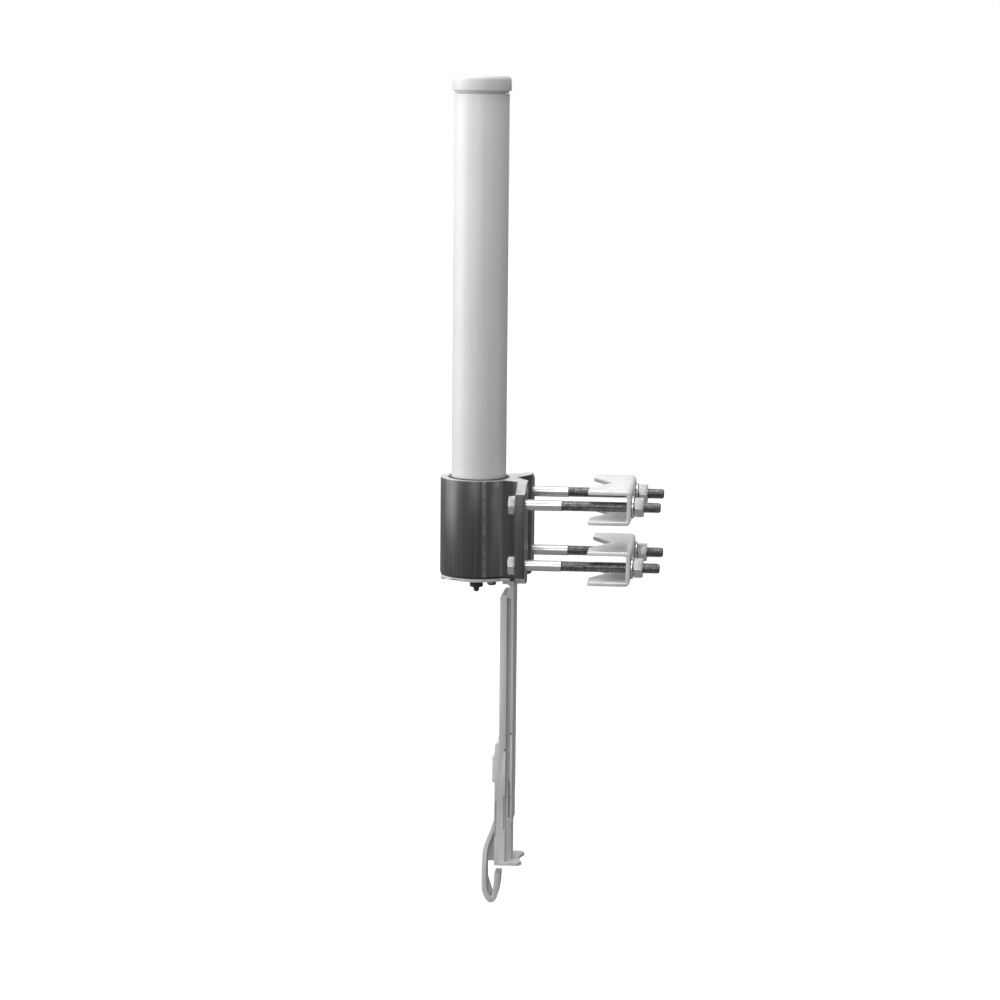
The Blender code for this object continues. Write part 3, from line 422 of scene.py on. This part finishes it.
def settle(piece):
    """Back in object mode, with the place in the mesh and the object at the origin."""
    bare()
    bpy.context.view_layer.objects.active = piece
    piece.select_set(True)
    bpy.ops.object.transform_apply(location=True, rotation=True, scale=True)
    return piece

# %% [markdown]
# ### Round pieces and copies of CAD solids
# Most parts are round, and a ring that is extruded and scaled from one (radius, height) pair to the next
# gives any turned shape without a lathe tool. What isn't round starts from its CAD solid, whose loose
# triangles are merged first so that a bevel finds real edges.

# %% Turning and copying
def turned(outline, at, along="Z", segments=96):
    """A ring pulled through (radius, height) pairs. If they return to the first one, it is a tube."""
    hollow = outline[0] == outline[-1]
    radius, height = outline[0]
    bare()
    bpy.ops.mesh.primitive_circle_add(vertices=segments, radius=radius, location=(0, 0, 0))
    piece = bpy.context.object
    in_edit(piece)
    bpy.ops.transform.translate(value=(0, 0, height))
    for next_radius, next_height in outline[1:-1] if hollow else outline[1:]:
        bpy.ops.mesh.extrude_region_move(TRANSFORM_OT_translate={"value": (0, 0, next_height - height)})
        bpy.ops.transform.resize(value=(next_radius / radius, next_radius / radius, 1),
                                 center_override=(0, 0, next_height))
        radius, height = next_radius, next_height
    bpy.ops.mesh.select_all(action="DESELECT")
    bpy.ops.mesh.select_non_manifold()
    bpy.ops.mesh.bridge_edge_loops() if hollow else bpy.ops.mesh.fill_holes(sides=0)
    bpy.ops.mesh.select_all(action="SELECT")
    bpy.ops.mesh.normals_make_consistent(inside=False)
    bare()
    if along == "X":
        piece.rotation_euler = (0, pi / 2, 0)
    piece.location = at
    return settle(piece)


def merged_copy(node_name, flat=0.6):
    """A copy of a CAD solid with its loose triangles merged and its flat faces joined up."""
    piece = bpy.data.objects.new(node_name + "_copy", frame["nodes"][node_name].data.copy())
    bpy.context.scene.collection.objects.link(piece)
    in_edit(piece)
    bpy.ops.mesh.remove_doubles(threshold=0.002 * MM)
    bpy.ops.mesh.select_all(action="SELECT")
    bpy.ops.mesh.dissolve_limited(angle_limit=radians(flat))
    bare()
    return piece

# %% [markdown]
# ### Modifiers and cuts
# A modifier is added, set and applied at once, so that a finished piece holds nothing live. A cut is a
# Boolean with a tool that is thrown away afterwards.

# %% Rounding, cutting and joining
def applied(piece, kind, **settings):
    """Adds one modifier and applies it."""
    bare()
    bpy.context.view_layer.objects.active = piece
    piece.select_set(True)
    modifier = piece.modifiers.new(kind.lower(), kind)
    for key, value in settings.items():
        setattr(modifier, key, value)
    bpy.ops.object.modifier_apply(modifier=modifier.name)
    return piece


def soften(piece, width, segments=2, angle=35):
    """Rounds every edge that turns by more than an angle."""
    return applied(piece, "BEVEL", width=width, segments=segments, limit_method="ANGLE",
                   angle_limit=radians(angle), use_clamp_overlap=True)


def carved(piece, tool, operation="DIFFERENCE"):
    """Cuts a tool out of a piece, or joins or intersects the two, and throws the tool away."""
    applied(piece, "BOOLEAN", operation=operation, object=tool, solver="EXACT")
    bpy.data.objects.remove(tool)
    return piece


def as_one(pieces):
    """Several pieces as one object."""
    bare()
    bpy.context.view_layer.objects.active = pieces[0]
    for piece in pieces:
        piece.select_set(True)
    if len(pieces) > 1:
        bpy.ops.object.join()
    return bpy.context.object


def centre_of(node_name):
    """The middle of a CAD solid's box."""
    low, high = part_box(node_name)
    return (low + high) / 2


def block(low, high):
    """A box between two corners, as a tool for a cut or a part of a shape."""
    bare()
    low, high = Vector(low), Vector(high)
    bpy.ops.mesh.primitive_cube_add(size=1, location=(low + high) / 2)
    bpy.context.object.scale = high - low
    return settle(bpy.context.object)

# %% [markdown]
# ### Handing a piece over
# A finished piece takes its name, its shading and its finish, rides on the body that its CAD solid rides on,
# and hides that solid. What repeats is modelled once: each repeat copies the finished mesh and moves it to
# where the next CAD solid of that kind sits.

# %% Finishing and repeating
def finished(piece, name, slot, *nodes, smooth=32, material=None):
    """Names a piece, shades it, gives it its finish and hands it over for the CAD solids it stands for."""
    bare()
    bpy.context.view_layer.objects.active = piece
    piece.select_set(True)
    piece.name = piece.data.name = name
    bpy.ops.object.shade_smooth_by_angle(angle=radians(smooth))
    piece.data.materials.clear()
    piece.data.materials.append(FINISHES[material or slot])
    return handed_over(piece, slot, *nodes)


def handed_over(piece, slot, *nodes):
    """Makes a piece ride on the body of the CAD solid it stands for, and hides that solid."""
    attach(piece, frame["nodes"][nodes[0]]["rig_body"])
    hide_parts(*nodes)
    print(piece.name, len(piece.data.polygons), "faces,", [round(v / MM, 1) for v in piece.dimensions], "mm")
    return piece


def repeated(piece, name, slot, first_node, node_name):
    """A copy of a finished piece, with its own mesh, where another CAD solid of the same kind sits."""
    twin = bpy.data.objects.new(name, piece.data.copy())
    twin.data.name = name
    bpy.context.scene.collection.objects.link(twin)
    twin.location = centre_of(node_name) - centre_of(first_node)
    return handed_over(settle(twin), slot, node_name)


def face_finish(piece, material, chosen):
    """Gives another finish to the faces that a test picks by their normal and centre."""
    piece.data.materials.append(FINISHES[material])
    for face in piece.data.polygons:
        if chosen(face.normal, face.center):
            face.material_index = len(piece.data.materials) - 1

# %% [markdown]
# ## The radome
# The tube that shields the antenna's boards is thin-walled plastic, 40 mm across. Its cap is pressed in from
# above: a dark groove, a rim that stands out a little and a rounded top edge. Both are round, so each is
# a ring pulled through its outline, and a bevel softens the corners.

# %% Tube
tube_low, tube_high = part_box("radome_tube")
tube_axis = Vector((centre_of("radome_tube").x, 0, 0))
TUBE_RADIUS = (tube_high.x - tube_low.x) / 2
TUBE_WALL, CAP_GROOVE = 2.5 * MM, 1.6 * MM
inside = TUBE_RADIUS - TUBE_WALL
wall = [(TUBE_RADIUS, tube_low.z), (TUBE_RADIUS, tube_high.z), (inside, tube_high.z), (inside, tube_low.z)]
tube = soften(turned(wall + wall[:1], tube_axis), 0.5 * MM, 3)
finished(tube, "radome_skin", "radome", "radome_tube")

# %% Cap and seal
cap_low, cap_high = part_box("radome_cap")
cap_radius, brim = (cap_high.x - cap_low.x) / 2, tube_high.z + 0.3 * MM + CAP_GROOVE
plug = inside - 0.3 * MM
rim = [(plug, cap_low.z), (plug, tube_high.z + 0.3 * MM), (TUBE_RADIUS - 0.4 * MM, tube_high.z + 0.3 * MM),
       (TUBE_RADIUS - 0.4 * MM, brim), (cap_radius, brim), (cap_radius - 0.25 * MM, cap_high.z - 3.4 * MM)]
corner = 3.4 * MM
CORNER_STEPS = 8
for i in range(1, CORNER_STEPS + 1):
    turn = i / CORNER_STEPS * pi / 2
    rim.append((cap_radius - 0.25 * MM - corner * (1 - cos(turn)), cap_high.z - corner * (1 - sin(turn))))
rim += [(cap_radius * 0.5, cap_high.z), (plug * 0.2, cap_high.z)]
cap = soften(turned(rim, tube_axis), 0.35 * MM, 3, angle=50)
finished(cap, "radome_end_cap", "radome", "radome_cap")

seal_low, seal_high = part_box("radome_seal")
seal_out, seal_in = (seal_high.x - seal_low.x) / 2, TUBE_RADIUS + 0.3 * MM
lip = [(seal_out, seal_low.z), (seal_out, seal_high.z), (seal_in, seal_high.z), (seal_in, seal_low.z)]
finished(soften(turned(lip + lip[:1], tube_axis), 0.5 * MM, 3), "socket_seal", "rubber", "radome_seal")

# %% [markdown]
# ## The aluminium base
# The base is sawn from a drawn aluminium profile, so its section is the same from top to bottom, with fine
# die lines along it, and only its two cut ends are bright. It starts from a merged copy of the CAD solid:
# the shape is right there, and what the copy adds is the rounded edges and the second finish on the ends.

# %% Base
base = soften(merged_copy("base_housing"), 0.45 * MM, 2, angle=28)
finished(base, "base_profile", "extrusion", "base_housing", smooth=28)
face_finish(base, "cut_end", lambda normal, centre: abs(normal.z) > 0.5)

# %% [markdown]
# ### A strip of light for the neck
# The curve where the round socket runs into the neck carries a soft bright band. The bolted plate would shade
# it, so the strip light falls on the base alone, and only the tube's cap may cast a shadow in it.

# %% Link the strip light to the base
lit_by_strip = bpy.data.collections.new("lit_by_strip")
lit_by_strip.objects.link(base)
strip.light_linking.receiver_collection = lit_by_strip
shades_strip = bpy.data.collections.new("shades_strip")
shades_strip.objects.link(cap)
strip.light_linking.blocker_collection = shades_strip

# %% Cover and gasket
for node_name, name, slot, round_by in (("bottom_cover", "base_cover", "cover", 0.4 * MM),
                                        ("bottom_gasket", "base_gasket", "rubber", 0.15 * MM)):
    finished(soften(merged_copy(node_name), round_by, 2), name, slot, node_name)

# %% [markdown]
# ## The clamps
# Each clamp is a bent channel of zinc-plated plate, open towards the mast. The vee in both flanges has cut
# teeth that bite into the mast. Teeth repeat, so one notch tool is placed along each side of the vee, all
# of them are joined, and one Boolean cuts the whole row. The lower clamp is a copy of the upper one.

# %% Clamps
VEE_ROOT, VEE_HALF_ANGLE = 34.81 * MM, radians(60)
NOTCH_PITCH, NOTCH_SIZE, NOTCHES = 2.8 * MM, 1.0 * MM, 10


def vee_notches(low, high):
    """Square prisms on edge along both sides of the vee, as high as the clamp."""
    tools = []
    for side in (1, -1):
        along = Vector((-cos(VEE_HALF_ANGLE), side * sin(VEE_HALF_ANGLE), 0))
        for i in range(1, NOTCHES + 1):
            bare()
            spot = Vector((VEE_ROOT, 0, (low + high) / 2)) + along * NOTCH_PITCH * i
            bpy.ops.mesh.primitive_cylinder_add(vertices=4, radius=NOTCH_SIZE, depth=high - low + 4 * MM,
                                                location=spot, rotation=(0, 0, -side * VEE_HALF_ANGLE))
            tools.append(settle(bpy.context.object))
    return as_one(tools)


low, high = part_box("upper_clamp")
clamp = carved(merged_copy("upper_clamp"), vee_notches(low.z, high.z))
finished(soften(clamp, 0.35 * MM, 2, angle=40), "upper_clamp_channel", "zinc_steel", "upper_clamp")
repeated(clamp, "lower_clamp_channel", "zinc_steel", "upper_clamp", "lower_clamp")

# %% [markdown]
# ## Bolts, nuts and washers
# A hexagon head is a hexagon with its corners turned off at 30 degrees. That is a Boolean of two simple
# shapes: a six-sided prism and a turned blank with a chamfer. The thread is a real ridge: a small triangle
# swept up a helix by the Screw modifier round a slimmer core. One bolt, one nut and one washer are modelled,
# and the other three of each are copies.

# %% Hexagons and threads
ACROSS_FLATS, CHAMFER_ACROSS = 13 * MM, 0.96
PITCH, CORE_RADIUS, CREST_RADIUS = 1.25 * MM, 3.45 * MM, 4.0 * MM


def chamfered_hexagon(at, along, flats, low, high, ends=(True, True)):
    """A hexagon along an axis, with corners turned off at the ends that ask for it."""
    corner = flats / 2 / cos(pi / 6)
    rim, cut = corner * 1.02, corner - flats / 2 * CHAMFER_ACROSS
    drop = cut * tan(pi / 6)
    blank = [(rim - cut, low), (rim, low + drop)] if ends[0] else [(rim, low)]
    blank += [(rim, high - drop), (rim - cut, high)] if ends[1] else [(rim, high)]
    prism = turned([(corner, low - 1 * MM), (corner, high + 1 * MM)], at, along, segments=6)
    return carved(prism, turned(blank, at, along, segments=72), "INTERSECT")


def thread(at, along, start, end, core=CORE_RADIUS, crest=CREST_RADIUS, pitch=PITCH, steps=20):
    """A helical ridge with a 60-degree section, closed at both ends."""
    bare()
    bpy.ops.mesh.primitive_circle_add(vertices=3, radius=1, location=(0, 0, 0))
    ridge = bpy.context.object
    inner, flank = core - 0.15 * MM, pitch * 0.46
    for vertex, place in zip(ridge.data.vertices, ((crest, 0), (inner, flank), (inner, -flank))):
        vertex.co = (place[0], 0, start + pitch / 2 + place[1])
    turns = int((end - start - pitch) / pitch)
    applied(ridge, "SCREW", angle=2 * pi, screw_offset=pitch, iterations=turns, steps=steps,
            render_steps=steps, axis="Z", use_normal_calculate=True, use_smooth_shade=False)
    in_edit(ridge)
    bpy.ops.mesh.remove_doubles(threshold=0.001 * MM)
    bpy.ops.mesh.select_all(action="DESELECT")
    bpy.ops.mesh.select_non_manifold()
    bpy.ops.mesh.fill_holes(sides=0)
    bpy.ops.mesh.select_all(action="SELECT")
    bpy.ops.mesh.normals_make_consistent(inside=False)
    bare()
    if along == "X":
        ridge.rotation_euler = (0, pi / 2, 0)
    ridge.location = at
    return settle(ridge)

# %% One bolt
THREAD_STARTS, HEAD_THICKNESS = 0.5 * MM, 5.3 * MM
low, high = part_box("hex_bolt_upper_right")
axis = Vector((0, (low.y + high.y) / 2, (low.z + high.z) / 2))
head_back = low.x + HEAD_THICKNESS
head = chamfered_hexagon(axis, "X", ACROSS_FLATS, low.x, head_back, ends=(True, False))
shank = turned([(CREST_RADIUS, head_back - 1 * MM), (CREST_RADIUS, THREAD_STARTS),
                (CORE_RADIUS, THREAD_STARTS + 0.6 * MM), (CORE_RADIUS, high.x - 0.9 * MM),
                (CORE_RADIUS - 0.8 * MM, high.x)], axis, "X", segments=40)
ridge = thread(axis, "X", THREAD_STARTS, high.x - 0.4 * MM)
bolt = as_one([soften(head, 0.25 * MM, 2, angle=25), shank, ridge])
finished(bolt, "bolt_upper_right", "zinc_steel", "hex_bolt_upper_right", smooth=25, material="fastener")
face_finish(bolt, "thread", lambda normal, centre: centre.x > THREAD_STARTS)

# %% One nut and one washer
low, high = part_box("nut_upper_right")
bore = CREST_RADIUS + 0.3 * MM
cone = turned([(bore + 0.8 * MM, low.x - 0.4 * MM), (bore, low.x + 0.4 * MM), (bore, high.x - 0.4 * MM),
               (bore + 0.8 * MM, high.x + 0.4 * MM)], axis, "X", segments=40)
nut = carved(chamfered_hexagon(axis, "X", ACROSS_FLATS, low.x, high.x), cone)
finished(soften(nut, 0.2 * MM, 2, angle=25), "nut_upper_right_hex", "zinc_steel", "nut_upper_right",
         smooth=25, material="fastener")

low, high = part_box("washer_upper_right")
outer = (high.z - low.z) / 2
ring = [(outer, low.x), (outer, high.x), (bore, high.x), (bore, low.x)]
washer = soften(turned(ring + ring[:1], axis, "X", segments=64), 0.25 * MM, 2)
finished(washer, "washer_upper_right_ring", "zinc_steel", "washer_upper_right", material="fastener")

# %% The other three of each
for corner_name in ("upper_left", "lower_right", "lower_left"):
    for piece, word, ending, cad_word in ((bolt, "bolt", "", "hex_bolt"), (nut, "nut", "_hex", "nut"),
                                          (washer, "washer", "_ring", "washer")):
        repeated(piece, f"{word}_{corner_name}{ending}", "zinc_steel", cad_word + "_upper_right",
                 f"{cad_word}_{corner_name}")

# %% [markdown]
# ## Under the base
# Three pan-head screws hold the cover, and two more hold the arm's tab. Each has a cross recess, cut with two
# crossed blocks. Next to them two small threaded jacks stick out, each with its nut and a rubber dust cap,
# whose skirt has a ring of small grips. The left jack, nut and cap are modelled, and the right ones are
# copies.

# %% Cover screws and arm screws
def cross_recess(x, y, low, size):
    """Two crossed blocks that cut a driver recess into the underside of a screw head."""
    reach, half, depth = size * 0.62, size * 0.13, size * 0.55
    arms = [block((x - across, y - along, low - depth), (x + across, y + along, low + depth))
            for across, along in ((reach, half), (half, reach))]
    return carved(arms[0], arms[1], "UNION")


SCREW_SHANK, HEAD_DEPTH = 1.45 * MM, 2.4 * MM
low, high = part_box("cover_screw_1")
place, radius = centre_of("cover_screw_1"), (high.x - low.x) / 2
crown = [(SCREW_SHANK, high.z), (SCREW_SHANK, low.z + HEAD_DEPTH), (radius, low.z + HEAD_DEPTH)]
crown += [(radius, low.z + 1.2 * MM), (radius * 0.93, low.z + 0.55 * MM), (radius * 0.75, low.z + 0.12 * MM),
          (radius * 0.5, low.z)]
screw = turned(crown, Vector((place.x, place.y, 0)), segments=48)
screw = carved(screw, cross_recess(place.x, place.y, low.z, radius * 0.9))
finished(soften(screw, 0.12 * MM, 2, angle=40), "pan_screw_1", "zinc_steel", "cover_screw_1",
         material="thread")
for number in (2, 3):
    repeated(screw, f"pan_screw_{number}", "zinc_steel", "cover_screw_1", f"cover_screw_{number}")

low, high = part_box("arm_screw_left")
place = centre_of("arm_screw_left")
screw = carved(merged_copy("arm_screw_left"), cross_recess(place.x, place.y, low.z, 1.5 * MM))
finished(soften(screw, 0.1 * MM, 2, angle=40), "tab_screw_left", "zinc_steel", "arm_screw_left")
repeated(screw, "tab_screw_right", "zinc_steel", "arm_screw_left", "arm_screw_right")

# %% One jack and its nut
JACK_BORE, JACK_NUT_FLATS = 3.45 * MM, 8 * MM
low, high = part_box("connector_left")
place, tip = centre_of("connector_left"), low.z
axis = Vector((place.x, place.y, 0))
jack = soften(merged_copy("connector_left"), 0.12 * MM, 2, angle=40)
finished(jack, "jack_left", "connector_metal", "connector_left")

low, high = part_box("connector_nut_left")
hole = turned([(JACK_BORE, low.z - 1 * MM), (JACK_BORE, high.z + 1 * MM)], axis, segments=40)
jack_nut = carved(chamfered_hexagon(axis, "Z", JACK_NUT_FLATS, low.z, high.z), hole)
finished(soften(jack_nut, 0.12 * MM, 2, angle=25), "jack_nut_left", "connector_metal", "connector_nut_left",
         smooth=25)

# %% One dust cap
GRIPS, GRIP_RADIUS = 16, 0.55 * MM
low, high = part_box("dust_cap_left")
radius, cap_roof, nub = (high.x - low.x) / 2, tip - 0.3 * MM, 2.2 * MM
shelf = low.z + 3.8 * MM
outline = [(JACK_BORE, cap_roof), (JACK_BORE, high.z), (radius, high.z), (radius, shelf + 0.5 * MM),
           (radius - 0.5 * MM, shelf), (nub + 0.4 * MM, shelf), (nub, shelf - 0.4 * MM), (nub, low.z + nub)]
outline += [(nub * cos(t), low.z + nub * (1 - sin(t))) for t in (pi / 8, pi / 4, pi * 3 / 8, pi * 0.47)]
grips = []
for i in range(GRIPS):
    turn = i * 2 * pi / GRIPS
    spot = axis + Vector((cos(turn), sin(turn), 0)) * (radius + 0.25 * MM)
    grips.append(turned([(GRIP_RADIUS, shelf - 1 * MM), (GRIP_RADIUS, high.z - 0.8 * MM)], spot, segments=10))
dust_cap = carved(turned(outline, axis, segments=64), as_one(grips))
finished(soften(dust_cap, 0.12 * MM, 2, angle=40), "rubber_cap_left", "rubber", "dust_cap_left")

# %% The other jack, nut and cap
for piece, name, slot, cad_word in ((jack, "jack_right", "connector_metal", "connector_"),
                                    (jack_nut, "jack_nut_right", "connector_metal", "connector_nut_"),
                                    (dust_cap, "rubber_cap_right", "rubber", "dust_cap_")):
    repeated(piece, name, slot, cad_word + "left", cad_word + "right")

# %% [markdown]
# ## The arm and the release lever
# Both are injection-moulded. A moulding has no sharp edge anywhere, so the copies get a wider bevel than the
# small metal parts. The mould leaves thin slots behind the catch and small round core holes on both sides of
# the arm, which are cut from its copy. The lever turns on a steel pin between the arm's rails.

# %% Tools for the arm's slots and holes
SLOT_WIDTH = 1.3 * MM
# In mm. A slot: how far behind the arm's front it is, how high above the arm's lower end its top and bottom
# are, and how far from the middle its outer and inner ends are. A hole: the same two places and its radius.
ARM_SLOTS = ((10.7, 63.5, 35.5, 16, 6), (1.1, 48.5, 21.5, 17, 14.6))
ARM_HOLES = ((7.4, 87.5, 0.9), (12, 99.8, 0.7))
HOLE_DEPTH, HOLE_MIDDLE = 8 * MM, 14 * MM
arm_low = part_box("mount_arm")[0]


def arm_slot(side, front, top, bottom, outer, inner):
    """A thin upright block on one side of the arm."""
    x, span = arm_low.x + front * MM, sorted((side * outer * MM, side * inner * MM))
    return block((x - SLOT_WIDTH / 2, span[0], arm_low.z + bottom * MM),
                 (x + SLOT_WIDTH / 2, span[1], arm_low.z + top * MM))


def arm_hole(side, front, height, radius):
    """A short rod that cuts a core hole into one side of the arm."""
    bare()
    spot = (arm_low.x + front * MM, side * HOLE_MIDDLE, arm_low.z + height * MM)
    bpy.ops.mesh.primitive_cylinder_add(vertices=24, radius=radius * MM, depth=HOLE_DEPTH, location=spot,
                                        rotation=(pi / 2, 0, 0))
    return settle(bpy.context.object)

# %% Arm and lever
arm = merged_copy("mount_arm")
for side in (1, -1):
    carved(arm, as_one([arm_slot(side, *sizes) for sizes in ARM_SLOTS]
                       + [arm_hole(side, *sizes) for sizes in ARM_HOLES]))
finished(soften(arm, 0.35 * MM, 2, angle=30), "radio_arm", "moulding", "mount_arm")
finished(soften(merged_copy("release_lever"), 0.4 * MM, 2, angle=30), "release_rocker", "moulding",
         "release_lever")

# %% The lever's pin
PIN_RADIUS = 1.5 * MM
low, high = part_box("lever_pin")
place = centre_of("lever_pin")
pin = turned([(PIN_RADIUS, low.y), (PIN_RADIUS, high.y)], (0, 0, 0), segments=32)
pin.rotation_euler = (-pi / 2, 0, 0)
pin.location = (place.x, 0, place.z)
finished(soften(settle(pin), 0.2 * MM, 2), "rocker_pin", "zinc_steel", "lever_pin")

# %% [markdown]
# ## Inside the tube
# The boards, foam discs and leads are hidden, but the part is honest inside too. Their CAD shapes are right,
# so they stay and only take a finish, picked by a word in their names.

# %% Finishes for the carried-over solids
INSIDE = {"board": "circuit_board", "foam": "foam", "coax": "coax_jacket"}
for node_name, cad in frame["nodes"].items():
    if not cad.hide_render:
        kind = next(slot for word, slot in INSIDE.items() if word in node_name)
        cad.data.materials.clear()
        cad.data.materials.append(FINISHES[kind])
        print(node_name, "keeps its shape and takes", kind)

# %% [markdown]
# ## Sizes
# The rebuilt pieces have to fill the same box as the CAD solids that they stand for. Their box is
# measured at the end.

# %% Measure the rebuilt pieces
low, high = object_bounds()
